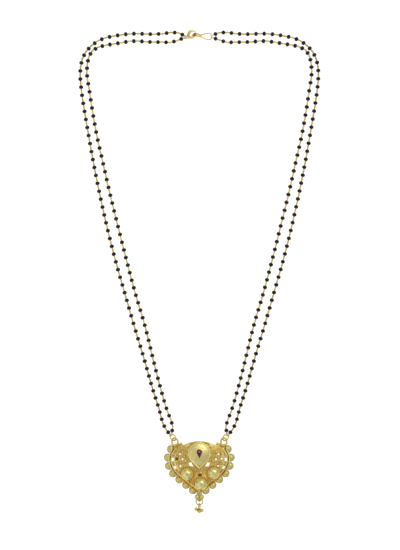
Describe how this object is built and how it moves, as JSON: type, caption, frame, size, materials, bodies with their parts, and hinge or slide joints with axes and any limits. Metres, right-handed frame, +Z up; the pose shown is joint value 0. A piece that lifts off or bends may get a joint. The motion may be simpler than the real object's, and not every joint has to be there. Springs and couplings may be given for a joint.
{
  "type": "mangalsutra necklace",
  "caption": "Necklace with two rows of round black beads on linked gold wire, a pierced filigree pendant with domes and a dark red stone, and a hook clasp.",
  "frame": {"origin": "on the pendant's flat back, under the teardrop shield and on the pendant's middle line, 9 mm below its top edge", "axes": "+Z points up from the surface the necklace lies on, out of the pendant's front; +Y points from the pendant to the clasp; +X points to the side of the hook's own strands"},
  "size_m": [0.1453, 0.2899, 0.0053],
  "materials": {
    "gold": "satin greenish yellow gold plate, darker amber in the recesses",
    "pale_gold": "polished paler gold plate",
    "black_glass": "opaque glossy blue-black glass",
    "maroon_stone": "faceted dark maroon glass, polished"
  },
  "bodies": {
    "root": {"pendant": "gold", "end_ring_left": "gold", "end_ring_right": "gold", "drop_ring": "gold", "drop_cluster": "gold", "wire_outer_left": "gold", "wire_inner_left": "gold", "wire_outer_right": "gold", "wire_inner_right": "gold", "hook_clasp": "pale_gold", "clasp_ring": "pale_gold", "beads_outer_left": "black_glass", "beads_inner_left": "black_glass", "beads_outer_right": "black_glass", "beads_inner_right": "black_glass", "pear_stone": "maroon_stone"}
  },
  "joints": []
}
